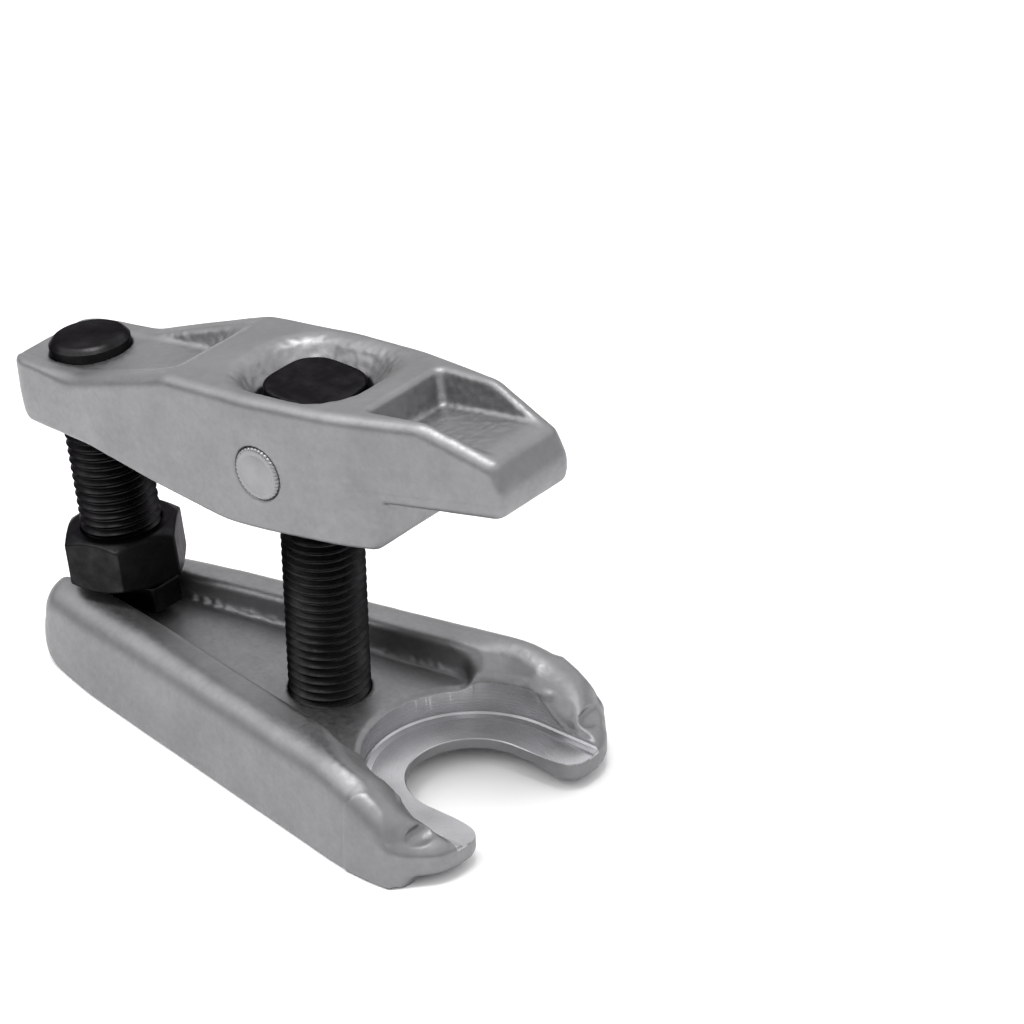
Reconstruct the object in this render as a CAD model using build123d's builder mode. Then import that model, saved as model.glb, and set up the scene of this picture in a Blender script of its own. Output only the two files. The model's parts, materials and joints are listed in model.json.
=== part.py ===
from build123d import *
import math
import os

# Lever-type ball joint separator, millimetres. +Z is up and +X points towards the fork's mouth.
# The origin is on the surface the fork stands on, under the middle of the whole tool.

# Fulcrum and lever placement
SCREW_X = 12.0            # fulcrum screw's axis
PIVOT_Z = 92.0            # cross pin's axis above the floor
LEVER_TILT = 7.6          # degrees, nose up
FIT_GAP = 0.05            # radial running clearance

# Screw thread, M22 coarse, drawn as rings of the right pitch and depth
THREAD_R = 11.0
THREAD_PITCH = 2.5
THREAD_DEPTH = 1.35
THREAD_CREST = 0.35       # width of the flat at the thread's crest and root
THREAD_BORE_R = THREAD_R + FIT_GAP

# Lower fork, x measured from the fulcrum screw
FORK_REAR_X = -94.4
FORK_REAR_CORNER = 12.0
FLANK_MIDDLE = 36.4       # half width at the foot of the flanks, level with the screw
FLANK_SLOPE = 0.183
FLANK_DRAFT = 2.2         # how far the flank leans in up to its crest
FLANK_END_X = 47.0
FORK_HEIGHT = 26.6
FORK_REAR_HEIGHT = 22.5
FORK_CREST_R = 7.0
FORK_UNDER_WEB = 4.8
FORK_UNDER_TIP = 2.2
FORK_WEB_TOP = 17.0
RIB_FOOT = 9.0            # of the rib's foot under the web
CHANNEL_REAR_HALF = 6.5
CHANNEL_WIDEN_X = -75.0
CHANNEL_FRONT_X = 29.0
CHANNEL_SLOPE = 0.19
TIP_X = 67.6
TIP_SIDE = 44.4
TIP_OUTER_R = 10.0
TIP_TOP = 10.9
SEAT_X = 48.9
SEAT_FLOOR_Z = 8.2
SEAT_R = 28.6
SEAT_SLOPE_Z = 19.0       # where the ribs' slope meets the seat's wall
SEAT_SLOPE_R = 34.8       # of that slope at the ribs' top
MOUTH_HALF = 17.5
MOUTH_FLARE_R = 5.0

# Upper lever, x and z measured from the cross pin in the lever's own tilted frame
LEVER_REAR_X = -97.9
LEVER_NOSE_X = 75.6
LEVER_MIDDLE_HALF = 23.9
BOSS_TOP = 10.9
BOSS_UNDER = -8.0
LEVER_TOP_Z = 20.5
BELLY_Z = -16.4
BELLY_DROP = 0.8          # the belly's rear end is this much lower
NOSE_UNDER = -2.9
LEVER_EDGE_R = 2.0
SLOT = (30.6, 24.8, 3.0)  # length, width and corner radius
SLOT_TOP = 13.6
RIM = (42.0, 34.6, 14.0)
RIM_X = 3.0
WEDGE_HALF = 11.5
PIN_R = 7.29
PIN_BORE_R = 7.3
PIN_HALF = 23.7
PIN_CHAMFER = 0.6

# Fulcrum screw's head, an eye with four flats
HEAD_ACROSS = 24.0
HEAD_TURNED_R = 13.3
HEAD_UNDER_Z = 78.0
HEAD_TOP_Z = 108.6
SCREW_END_Z = 3.0
END_CHAMFER = 1.5

# Pressure spindle, heights measured along its axis in the lever's frame
SPINDLE_X = -79.8
SPINDLE_TOP = 14.4
SPINDLE_PLAIN = 5.0
NUT_ACROSS = 30.0
NUT_TOP = -41.0
NUT_BOTTOM = -56.0
NUT_FACE_R = 14.2
NUT_TURN = 8.0            # degrees, of the hex about the spindle
NUT_CHAMFER_ANGLE = 30.0
JOURNAL_R = 3.5
JOURNAL_END = -60.3

# Foot under the spindle
FOOT_TOP = -56.4
FOOT_BOTTOM = -64.1
FOOT_HEEL = -4.8
FOOT_TOE = 13.7
FOOT_HALF_WIDTH = 5.2
FOOT_CHAMFER = 1.2
FOOT_BORE_END = -61.3
RING_LEVEL = -58.6
RING_R = 3.6
RING_WIRE_R = 0.5
BALL_R = 1.5
BALL_SOCKET_R = 1.51
BALL_LEVEL = -61.2

tilt = math.radians(LEVER_TILT)
along_lever = Vector(math.cos(tilt), 0, math.sin(tilt))
up_lever = Vector(-math.sin(tilt), 0, math.cos(tilt))
pivot = Vector(SCREW_X, 0, PIVOT_Z)
spindle_foot_point = pivot + along_lever * SPINDLE_X

fork_side = Plane(origin=(SCREW_X, 0, 0), x_dir=(1, 0, 0), z_dir=(0, -1, 0))
lever_side = Plane(origin=pivot, x_dir=along_lever, z_dir=(0, -1, 0))
spindle_side = Plane(origin=spindle_foot_point, x_dir=along_lever, z_dir=(0, -1, 0))
spindle_axis = Axis(spindle_foot_point, up_lever)
screw_axis = Axis((SCREW_X, 0, 0), (0, 0, 1))


def fork_level(height):
    """A level plane with its origin on the fulcrum screw's axis."""
    return Plane(origin=(SCREW_X, 0, height), x_dir=(1, 0, 0), z_dir=(0, 0, 1))


def lever_level(height):
    """A plane along the lever, at a height above the cross pin."""
    return Plane(origin=pivot + up_lever * height, x_dir=along_lever, z_dir=up_lever)


def spindle_level(height):
    """A plane square to the pressure spindle, with its origin on the spindle's axis."""
    return Plane(origin=spindle_foot_point + up_lever * height, x_dir=along_lever, z_dir=up_lever)


def threaded_side(bottom, top):
    """Radius and height of each corner of a ringed thread's side, from bottom to top."""
    root_r = THREAD_R - THREAD_DEPTH
    flank = THREAD_PITCH / 2 - THREAD_CREST
    corners = []
    level = bottom
    while level + THREAD_PITCH <= top:
        corners.append((THREAD_R, level + THREAD_CREST))
        corners.append((root_r, level + THREAD_CREST + flank))
        corners.append((root_r, level + 2 * THREAD_CREST + flank))
        corners.append((THREAD_R, level + THREAD_PITCH))
        level += THREAD_PITCH
    return corners


# Lower fork: forged U-section with a web, a turned seat and an open mouth.
channel_front_half = CHANNEL_REAR_HALF + CHANNEL_SLOPE * (CHANNEL_FRONT_X - CHANNEL_WIDEN_X)
flank_angle = math.atan(FLANK_SLOPE)
flank_end = (FLANK_END_X, FLANK_MIDDLE + FLANK_SLOPE * FLANK_END_X)
rear_end_y = FLANK_MIDDLE + FLANK_SLOPE * FORK_REAR_X
rear_setback = FORK_REAR_CORNER * math.tan((math.pi / 2 - flank_angle) / 2)

with BuildPart() as seat_slope:
    with BuildSketch(fork_side):
        with BuildLine():
            Polyline(
                (SEAT_X, SEAT_SLOPE_Z),
                (SEAT_X + SEAT_R, SEAT_SLOPE_Z),
                (SEAT_X + SEAT_SLOPE_R, FORK_HEIGHT + 1),
                (SEAT_X, FORK_HEIGHT + 1),
                close=True,
            )
        make_face()
    revolve(axis=Axis((SCREW_X + SEAT_X, 0, 0), (0, 0, 1)))

with BuildPart() as crest_envelope:
    for side_sign in (1, -1):
        flank_plane = Plane(
            origin=(SCREW_X + flank_end[0], side_sign * flank_end[1], 0),
            x_dir=(-math.sin(flank_angle), side_sign * math.cos(flank_angle), 0),
            z_dir=(side_sign * math.cos(flank_angle), math.sin(flank_angle), 0),
        )
        with BuildSketch(flank_plane):
            with BuildLine():
                foot = Line((0, 0), (-FLANK_DRAFT, FORK_HEIGHT - FORK_CREST_R))
                crest = JernArc(foot @ 1, (0, 1), FORK_CREST_R, 90)
                top = Line(crest @ 1, (-120, FORK_HEIGHT))
                back = Line(top @ 1, (-120, 0))
                Line(back @ 1, foot @ 0)
            make_face()
        extrude(amount=220, both=True, mode=Mode.ADD if side_sign == 1 else Mode.INTERSECT)

with BuildPart() as lower_fork:
    with BuildSketch(fork_level(0)):
        with BuildLine() as fork_edge:
            rear = Line((FORK_REAR_X, 0), (FORK_REAR_X, rear_end_y - rear_setback))
            corner = JernArc(rear @ 1, (0, 1), FORK_REAR_CORNER, math.degrees(flank_angle) - 90)
            side = Line(corner @ 1, flank_end)
            tip_side = Line(side @ 1, (TIP_X - TIP_OUTER_R, TIP_SIDE))
            tip_turn = JernArc(tip_side @ 1, (1, 0), TIP_OUTER_R, -90)
            tip_end = Line(tip_turn @ 1, (TIP_X, MOUTH_HALF))
            mouth_side = Line(tip_end @ 1, (SEAT_X, MOUTH_HALF))
            mouth_turn = JernArc(mouth_side @ 1, (-1, 0), MOUTH_HALF, 90)
            Line(mouth_turn @ 1, rear @ 0)
        make_face()
        mirror(about=Plane.XZ)
    extrude(amount=FORK_HEIGHT)
    mouth_corners = lower_fork.edges().filter_by(Axis.Z).filter_by(
        lambda e: abs(abs(e.center().Y) - MOUTH_HALF) < 0.1 and e.center().X > SCREW_X + SEAT_X + 5
    )
    fillet(mouth_corners, MOUTH_FLARE_R)
    with BuildSketch(fork_side):
        with BuildLine():
            Polyline(
                (FORK_REAR_X, 12),
                (FORK_REAR_X, 14.5),
                (FORK_REAR_X + 2.4, 19.6),
                (FORK_REAR_X + 8, FORK_REAR_HEIGHT),
                (-50, 24.6),
                (38, FORK_HEIGHT),
                (44, 25.6),
                (50, 22.4),
                (56, 17.8),
                (61.8, TIP_TOP + 1),
                (70, TIP_TOP),
                (70, FORK_UNDER_TIP),
                (61.4, FORK_UNDER_TIP),
                (60.6, 0),
                (FORK_REAR_X + 13, 0),
                (FORK_REAR_X + 4, 4),
                close=True,
            )
        make_face()
    extrude(amount=60, both=True, mode=Mode.INTERSECT)
    add(crest_envelope.part, mode=Mode.INTERSECT)
    with BuildSketch(fork_level(0)):
        with BuildLine():
            recess_front = flank_end[1] - RIB_FOOT
            Polyline(
                (FORK_REAR_X + 14, -12),
                (flank_end[0], -recess_front),
                (flank_end[0] + 9, -recess_front),
                (flank_end[0] + 9, recess_front),
                (flank_end[0], recess_front),
                (FORK_REAR_X + 14, 12),
                close=True,
            )
        make_face()
    extrude(amount=FORK_UNDER_WEB, mode=Mode.SUBTRACT)
    with BuildSketch(fork_level(FORK_WEB_TOP)):
        with BuildLine():
            Polyline(
                (FORK_REAR_X - 1, -CHANNEL_REAR_HALF),
                (CHANNEL_WIDEN_X, -CHANNEL_REAR_HALF),
                (CHANNEL_FRONT_X, -channel_front_half),
                (CHANNEL_FRONT_X, channel_front_half),
                (CHANNEL_WIDEN_X, CHANNEL_REAR_HALF),
                (FORK_REAR_X - 1, CHANNEL_REAR_HALF),
                close=True,
            )
        make_face()
    extrude(amount=FORK_HEIGHT, mode=Mode.SUBTRACT)
    with BuildSketch(fork_level(SEAT_FLOOR_Z)):
        with Locations((SEAT_X, 0)):
            Circle(SEAT_R)
        with Locations((SEAT_X + SEAT_R, 0)):
            Rectangle(2 * SEAT_R, 2 * SEAT_R)
    extrude(amount=FORK_HEIGHT, mode=Mode.SUBTRACT)
    add(seat_slope.part, mode=Mode.SUBTRACT)
    with BuildSketch(fork_level(0)):
        Circle(THREAD_BORE_R)
    extrude(amount=FORK_HEIGHT, mode=Mode.SUBTRACT)
lower_fork.part.label = "lower_fork"

# Upper lever: a plan outline cut to the side outline, with pockets and bores.
with BuildPart() as nose_recess:
    with BuildSketch(lever_side):
        with BuildLine():
            Polyline((33, 21), (35.5, 12.2), (80, 15.2), (80, 21), close=True)
        make_face()
    extrude(amount=20, both=True)
    with BuildSketch(lever_level(0)):
        with BuildLine():
            Polyline((33, -11.3), (80, -8), (80, 8), (33, 11.3), close=True)
        make_face()
    extrude(amount=30, mode=Mode.INTERSECT)

with BuildPart() as upper_lever:
    with BuildSketch(lever_level(BELLY_Z - BELLY_DROP)):
        with BuildLine():
            half_rear = Line((LEVER_REAR_X, 0), (LEVER_REAR_X, 9.6))
            rear_turn = Line(half_rear @ 1, (LEVER_REAR_X + 5.5, 15.6))
            flank = Polyline(
                rear_turn @ 1, (-63, 20.2), (-40, 22.3), (-3, LEVER_MIDDLE_HALF),
                (24, 22.5), (48, 17.8), (LEVER_NOSE_X, 13.1),
            )
            nose_end = Line(flank @ 1, (LEVER_NOSE_X, 0))
            Line(nose_end @ 1, half_rear @ 0)
        make_face()
        mirror(about=Plane.XZ)
    extrude(amount=LEVER_TOP_Z - BELLY_Z + BELLY_DROP)
    with BuildSketch(lever_side):
        with BuildLine():
            Polyline(
                (LEVER_REAR_X, 9),
                (LEVER_REAR_X + 2, BOSS_TOP),
                (-70, BOSS_TOP),
                (-31, LEVER_TOP_Z),
                (51.5, LEVER_TOP_Z),
                (71.8, 12.4),
                (LEVER_NOSE_X, 5),
                (73, NOSE_UNDER),
                (39, NOSE_UNDER),
                (36.6, BELLY_Z + 3.5),
                (32, BELLY_Z),
                (-15, BELLY_Z - BELLY_DROP),
                (-65, BOSS_UNDER),
                (-89, BOSS_UNDER),
                (LEVER_REAR_X, -1),
                close=True,
            )
        make_face()
    extrude(amount=40, both=True, mode=Mode.INTERSECT)
    fillet(upper_lever.edges(), LEVER_EDGE_R)
    with BuildSketch(lever_level(LEVER_TOP_Z + 0.1)):
        with Locations((RIM_X, 0)):
            RectangleRounded(*RIM)
    with BuildSketch(lever_level(SLOT_TOP)):
        RectangleRounded(*SLOT)
    loft(mode=Mode.SUBTRACT)
    with BuildSketch(lever_level(0)):
        RectangleRounded(*SLOT)
    extrude(amount=30, both=True, mode=Mode.SUBTRACT)
    with BuildSketch(lever_side):
        with BuildLine():
            Polyline((-72, BOSS_TOP), (-45, BOSS_TOP), (-34, 21), (-72, 21), close=True)
        make_face()
    extrude(amount=WEDGE_HALF, both=True, mode=Mode.SUBTRACT)
    add(nose_recess.part, mode=Mode.SUBTRACT)
    with BuildSketch(lever_level(0)):
        with Locations((SPINDLE_X, 0)):
            Circle(THREAD_BORE_R)
    extrude(amount=30, both=True, mode=Mode.SUBTRACT)
    with BuildSketch(lever_side):
        Circle(PIN_BORE_R)
    extrude(amount=40, both=True, mode=Mode.SUBTRACT)
upper_lever.part.label = "upper_lever"

# Fulcrum screw: ringed thread below a square eye with turned corners.
with BuildPart() as fulcrum_screw:
    with BuildSketch(fork_side):
        with BuildLine():
            thread_end = SCREW_END_Z + END_CHAMFER
            Polyline(
                (0, SCREW_END_Z),
                (THREAD_R - END_CHAMFER, SCREW_END_Z),
                (THREAD_R, thread_end),
                *threaded_side(thread_end, HEAD_UNDER_Z),
                (THREAD_R, HEAD_UNDER_Z),
                (0, HEAD_UNDER_Z),
                close=True,
            )
        make_face()
    revolve(axis=screw_axis)
    with BuildSketch(fork_level(HEAD_UNDER_Z)):
        Circle(HEAD_TURNED_R)
        Rectangle(HEAD_ACROSS, HEAD_ACROSS, mode=Mode.INTERSECT)
    extrude(amount=HEAD_TOP_Z - HEAD_UNDER_Z)
    with BuildSketch(lever_side):
        Circle(PIN_R + FIT_GAP)
    extrude(amount=HEAD_ACROSS, both=True, mode=Mode.SUBTRACT)
fulcrum_screw.part.label = "fulcrum_screw"

# Cross pin: pressed in the lever, running in the screw's eye.
with BuildPart() as cross_pin:
    with BuildSketch(lever_side):
        Circle(PIN_R)
    extrude(amount=PIN_HALF, both=True)
    chamfer(cross_pin.edges().filter_by(GeomType.CIRCLE), PIN_CHAMFER)
cross_pin.part.label = "cross_pin"

# Pressure spindle: ringed thread, plain top, journal for the foot at its lower end.
with BuildPart() as pressure_spindle:
    with BuildSketch(spindle_side):
        with BuildLine():
            thread_top = SPINDLE_TOP - SPINDLE_PLAIN
            Polyline(
                (0, JOURNAL_END),
                (JOURNAL_R, JOURNAL_END),
                (JOURNAL_R, NUT_BOTTOM),
                (THREAD_R, NUT_BOTTOM),
                *threaded_side(NUT_BOTTOM, thread_top),
                (THREAD_R, thread_top),
                (THREAD_R, SPINDLE_TOP - END_CHAMFER),
                (THREAD_R - END_CHAMFER, SPINDLE_TOP),
                (0, SPINDLE_TOP),
                close=True,
            )
        make_face()
        with Locations((RING_R, RING_LEVEL)):
            Circle(RING_WIRE_R + FIT_GAP, mode=Mode.SUBTRACT)
    revolve(axis=spindle_axis)
    with Locations(spindle_level(BALL_LEVEL)):
        Sphere(BALL_R + FIT_GAP, mode=Mode.SUBTRACT)
pressure_spindle.part.label = "pressure_spindle"

# Drive nut: hex locked on the spindle, chamfered at both faces.
with BuildPart() as drive_nut:
    with BuildSketch(spindle_level(NUT_BOTTOM)):
        RegularPolygon(NUT_ACROSS / 2, 6, major_radius=False, rotation=NUT_TURN)
        Circle(THREAD_BORE_R, mode=Mode.SUBTRACT)
    extrude(amount=NUT_TOP - NUT_BOTTOM)
    nut_corner_r = NUT_ACROSS / 2 / math.cos(math.radians(30))
    chamfer_rise = (nut_corner_r - NUT_FACE_R) * math.tan(math.radians(NUT_CHAMFER_ANGLE))
    with BuildSketch(spindle_side):
        with BuildLine():
            Polyline(
                (0, NUT_BOTTOM),
                (NUT_FACE_R, NUT_BOTTOM),
                (nut_corner_r, NUT_BOTTOM + chamfer_rise),
                (nut_corner_r, NUT_TOP - chamfer_rise),
                (NUT_FACE_R, NUT_TOP),
                (0, NUT_TOP),
                close=True,
            )
        make_face()
    revolve(axis=spindle_axis, mode=Mode.INTERSECT)
drive_nut.part.label = "drive_nut"

# Foot: block in the fork's channel, kept on the journal by the wire ring.
with BuildPart() as spindle_foot:
    with BuildSketch(spindle_level(FOOT_BOTTOM)):
        with Locations(((FOOT_HEEL + FOOT_TOE) / 2, 0)):
            Rectangle(FOOT_TOE - FOOT_HEEL, 2 * FOOT_HALF_WIDTH)
    extrude(amount=FOOT_TOP - FOOT_BOTTOM)
    chamfer(spindle_foot.edges().filter_by(Axis((0, 0, 0), up_lever)), FOOT_CHAMFER)
    with BuildSketch(spindle_side):
        with BuildLine():
            Polyline(
                (0, FOOT_BORE_END),
                (JOURNAL_R + FIT_GAP, FOOT_BORE_END),
                (JOURNAL_R + FIT_GAP, FOOT_TOP),
                (0, FOOT_TOP),
                close=True,
            )
        make_face()
        with Locations((RING_R, RING_LEVEL)):
            Circle(RING_WIRE_R + FIT_GAP)
    revolve(axis=spindle_axis, mode=Mode.SUBTRACT)
    with Locations(spindle_level(BALL_LEVEL)):
        Sphere(BALL_SOCKET_R, mode=Mode.SUBTRACT)
spindle_foot.part.label = "spindle_foot"

with BuildPart() as thrust_ball:
    with Locations(spindle_level(BALL_LEVEL)):
        Sphere(BALL_R)
thrust_ball.part.label = "thrust_ball"

with BuildPart() as foot_retaining_ring:
    with BuildSketch(spindle_side):
        with Locations((RING_R, RING_LEVEL)):
            Circle(RING_WIRE_R)
    revolve(axis=spindle_axis)
foot_retaining_ring.part.label = "foot_retaining_ring"

os.makedirs("parts", exist_ok=True)
pieces = [
    lower_fork, upper_lever, fulcrum_screw, cross_pin, pressure_spindle,
    drive_nut, spindle_foot, thrust_ball, foot_retaining_ring,
]
for piece in pieces:
    export_step(piece.part, f"parts/{piece.part.label}.step")
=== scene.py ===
import itertools
import json
import math

import bpy
import numpy as np
from mathutils import Matrix, Vector


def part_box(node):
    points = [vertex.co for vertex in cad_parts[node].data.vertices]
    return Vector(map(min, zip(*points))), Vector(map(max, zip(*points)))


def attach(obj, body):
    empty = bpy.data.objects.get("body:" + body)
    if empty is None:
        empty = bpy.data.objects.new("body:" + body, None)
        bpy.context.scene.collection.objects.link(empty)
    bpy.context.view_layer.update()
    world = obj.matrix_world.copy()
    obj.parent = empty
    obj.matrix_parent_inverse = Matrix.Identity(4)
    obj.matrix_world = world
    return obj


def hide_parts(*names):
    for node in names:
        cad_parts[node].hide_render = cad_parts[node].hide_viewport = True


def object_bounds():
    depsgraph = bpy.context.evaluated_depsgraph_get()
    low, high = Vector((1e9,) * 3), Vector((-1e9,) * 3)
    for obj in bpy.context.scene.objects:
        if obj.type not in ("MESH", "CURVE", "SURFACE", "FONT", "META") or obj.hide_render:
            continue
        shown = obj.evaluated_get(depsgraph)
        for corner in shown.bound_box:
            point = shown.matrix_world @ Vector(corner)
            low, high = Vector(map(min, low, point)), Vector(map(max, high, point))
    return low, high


# Looks of a lever-type ball joint separator. Shapes are worked out in millimetres in three local
# frames (fork, lever, spindle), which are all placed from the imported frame, and built in metres.

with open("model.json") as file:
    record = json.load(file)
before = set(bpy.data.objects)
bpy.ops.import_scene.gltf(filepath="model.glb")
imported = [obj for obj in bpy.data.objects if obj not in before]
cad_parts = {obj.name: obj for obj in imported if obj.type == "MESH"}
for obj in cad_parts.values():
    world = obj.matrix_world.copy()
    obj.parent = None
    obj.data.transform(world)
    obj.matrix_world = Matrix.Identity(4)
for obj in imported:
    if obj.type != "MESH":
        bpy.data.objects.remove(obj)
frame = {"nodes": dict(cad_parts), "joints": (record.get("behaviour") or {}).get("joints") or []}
cad_low, cad_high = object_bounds()

MM = 0.001

# ---------------------------------------------------------------- places taken from the frame


def middle(node):
    """Centre of a CAD node's box, in millimetres."""
    low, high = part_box(node)
    return (low + high) / 2 / MM


def joint_axis(name):
    """A joint's axis in the row frame."""
    return Vector(next(j for j in frame["joints"] if j["name"] == name)["axis"])


PIVOT = middle("cross_pin")
UP_LEVER = joint_axis("spindle_feed").normalized()
ALONG_LEVER = Vector((UP_LEVER.z, 0, -UP_LEVER.x))
SPINDLE_X = -79.8                    # spindle's axis from the cross pin, along the lever

FORK_FRAME = Matrix.Translation((PIVOT.x, 0, 0))
LEVER_FRAME = Matrix((
    (ALONG_LEVER.x, 0, UP_LEVER.x, PIVOT.x),
    (0, 1, 0, 0),
    (ALONG_LEVER.z, 0, UP_LEVER.z, PIVOT.z),
    (0, 0, 0, 1),
))
SPINDLE_FRAME = LEVER_FRAME @ Matrix.Translation((SPINDLE_X, 0, 0))

# ---------------------------------------------------------------- driving sizes, millimetres

# Fork, x from the fulcrum screw's axis
FORK_REAR = -94.4
FLANK_MIDDLE = 34.4                  # half width at the flanks' top, level with the screw
FLANK_SLOPE = 0.20
FLANK_DRAFT = 2.3                    # how much wider the foot of the flank is there
FLANK_DRAFT_SLOPE = -0.017
FLANK_END = 47.0
RIB_TOP = 26.8
UNDER_WEB = 4.8
UNDER_TIP = 2.2
UNDER_TIP_HALF = 37.5                # the rib's foot lies outside this under the tips
WEB_TOP = 17.0
CUT_EDGE_R = 2.4                     # round edge along the channel and over the seat
CHANNEL_HALF = 6.4
CHANNEL_WIDENS = -75.0
CHANNEL_SLOPE = 0.185
CHANNEL_FRONT = 30.0
CHANNEL_LEAN = 0.08                  # how far its walls lean out, per millimetre of height
SEAT_X = 48.9
SEAT_R = 28.6
SEAT_FLOOR = 8.2
MOUTH_HALF = 17.5
TIP_BACK = 56.0                      # where the tips take over from the flanks
TIP_X = 67.6
TIP_SIDE = 43.0
TIP_TOP = 10.9
DENT_MIDDLE = (61.6, 35.6, 13.8)     # torn hollow where each rib runs out
DENT_HALF = (3.4, 6.4, 2.6)

# Lever, x and z from the cross pin
BOSS_TOP = 10.9
LEVER_TOP = 20.5
BELLY = -16.4
NOSE_UNDER = -2.9
BORE_R = 11.05
PIN_R = 7.29
PIN_HALF = 23.7
WEDGE_HALF = 11.0
WEDGE_FRONT = -45.0
RECESS_HALF = 11.3
RECESS_REAR = 34.5
RECESS_FLOOR = 11.6

# Screws
THREAD_R = 11.0
THREAD_DEPTH = 1.35
PITCH = 2.5
SCREW_END = 3.0
HEAD_UNDER = 78.0
HEAD_TOP = 108.6
HEAD_HALF = 12.0
HEAD_TURNED_R = 13.3
SPINDLE_TOP = 14.4
NUT_TOP = -41.0
NUT_BOTTOM = -56.0
NUT_HALF = 15.0
NUT_FACE_R = 14.2
NUT_TURN = 8.0                       # degrees
JOURNAL_R = 3.5
JOURNAL_END = -60.3
FOOT_TOP = -56.4
FOOT_BOTTOM = -64.1
FOOT_HEEL = -4.8
FOOT_TOE = 13.7
FOOT_HALF = 5.2

# ---------------------------------------------------------------- distance fields


def rounded(points):
    """Closed outline from (x, y, corner radius) points, with each round corner as an arc."""
    corners = np.array([p[:2] for p in points], float)
    outline = []
    for i, (x, y, radius) in enumerate(points):
        here = corners[i]
        back = corners[i - 1] - here
        ahead = corners[(i + 1) % len(points)] - here
        back /= np.linalg.norm(back)
        ahead /= np.linalg.norm(ahead)
        half = math.acos(np.clip(back @ ahead, -1, 1)) / 2
        if radius == 0 or half > math.radians(89.5):
            outline.append(here)
            continue
        bisector = (back + ahead) / np.linalg.norm(back + ahead)
        centre = here + bisector * radius / math.sin(half)
        start = here + back * radius / math.tan(half) - centre
        end = here + ahead * radius / math.tan(half) - centre
        turn = math.atan2(start[0] * end[1] - start[1] * end[0], start @ end)
        steps = max(2, int(abs(math.degrees(turn)) / 5))
        for angle in np.linspace(0, turn, steps + 1):
            c, s = math.cos(angle), math.sin(angle)
            outline.append(centre + (c * start[0] - s * start[1], s * start[0] + c * start[1]))
    return np.array(outline)


def inside_outline(outline, x, y):
    """Signed distance to a closed outline, negative inside."""
    nearest = np.inf
    sign = 1.0
    previous = np.roll(outline, 1, axis=0)
    for (ax, ay), (bx, by) in zip(outline, previous):
        ex, ey = bx - ax, by - ay
        wx, wy = x - ax, y - ay
        share = np.clip((wx * ex + wy * ey) / (ex * ex + ey * ey), 0, 1)
        nearest = np.minimum(nearest, (wx - ex * share) ** 2 + (wy - ey * share) ** 2)
        above, under = y >= ay, y < by
        left = ex * wy > ey * wx
        crossing = (above & under & left) | (~above & ~under & ~left)
        sign = np.where(crossing, -sign, sign)
    return sign * np.sqrt(nearest)


def meet(a, b, radius=0.0):
    """Intersection of two fields with a round edge."""
    if np.ndim(radius) == 0 and radius == 0:
        return np.maximum(a, b)
    outer = np.hypot(np.maximum(a + radius, 0), np.maximum(b + radius, 0))
    return np.minimum(np.maximum(a, b), -radius) + outer


def join(a, b, radius=0.0):
    """Union of two fields with a round corner."""
    return -meet(-a, -b, radius)


def cut(a, b, radius=0.0):
    """a without b, with a round edge."""
    return meet(a, -b, radius)


def ramp(value, start, end):
    """0 at start, 1 at end, smooth between."""
    t = np.clip((value - start) / (end - start), 0, 1)
    return t * t * (3 - 2 * t)


def hump(value, middle, width):
    """1 at the middle, fading to 0 on both sides."""
    return np.exp(-((value - middle) / width) ** 2)


def box_field(x, y, half_x, half_y, radius):
    """Signed distance to a rectangle with round corners."""
    dx = np.abs(x) - half_x + radius
    dy = np.abs(y) - half_y + radius
    return np.hypot(np.maximum(dx, 0), np.maximum(dy, 0)) + np.minimum(np.maximum(dx, dy), 0) - radius


def lumps(x, y, z, size, seed=0):
    """Smooth lattice noise between -1 and 1 with lumps of the given size."""
    cells = [np.floor(v / size).astype(np.int64) for v in (x, y, z)]
    parts = [v / size - c for v, c in zip((x, y, z), cells)]
    parts = [p * p * (3 - 2 * p) for p in parts]
    total = 0.0
    for corner in itertools.product((0, 1), repeat=3):
        key = np.uint64(seed * 7919 + 12345)
        mixed = np.zeros(np.shape(x), np.uint64) + key
        weight = 1.0
        for c, p, step, prime in zip(cells, parts, corner, (73856093, 19349663, 83492791)):
            mixed = mixed ^ ((c + step).astype(np.uint64) * np.uint64(prime))
            weight = weight * (p if step else 1 - p)
        mixed = (mixed ^ (mixed >> np.uint64(13))) * np.uint64(1274126177)
        mixed = (mixed ^ (mixed >> np.uint64(16))) & np.uint64(0xFFFF)
        total = total + weight * (mixed.astype(float) / 32767.5 - 1)
    return total


def unevenness(x, y, z, layers):
    """Sum of layers of lumps, each with its height, size and seed."""
    return sum(height * lumps(x, y, z, size, seed) for height, size, seed in layers)


# ---------------------------------------------------------------- meshes from fields


def corner_slice(values, offset):
    """The grid shifted by a corner offset, cut to the grid's cells."""
    return values[tuple(slice(o, n - 1 + o) for o, n in zip(offset, values.shape))]


def net_points(values, active):
    """Mean of the crossings on each active cell's edges, in cells."""
    sums = np.zeros((active.sum(), 3))
    hits = np.zeros(active.sum())
    for axis in range(3):
        for a, b in itertools.product((0, 1), repeat=2):
            start = np.insert((a, b), axis, 0)
            end = np.insert((a, b), axis, 1)
            first = corner_slice(values, start)[active]
            second = corner_slice(values, end)[active]
            crossed = (first < 0) != (second < 0)
            share = np.where(crossed, first / np.where(crossed, first - second, 1), 0)
            place = start + share[:, None] * (end - start)
            sums[crossed] += place[crossed]
            hits[crossed] += 1
    return np.argwhere(active) + sums / hits[:, None]


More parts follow.
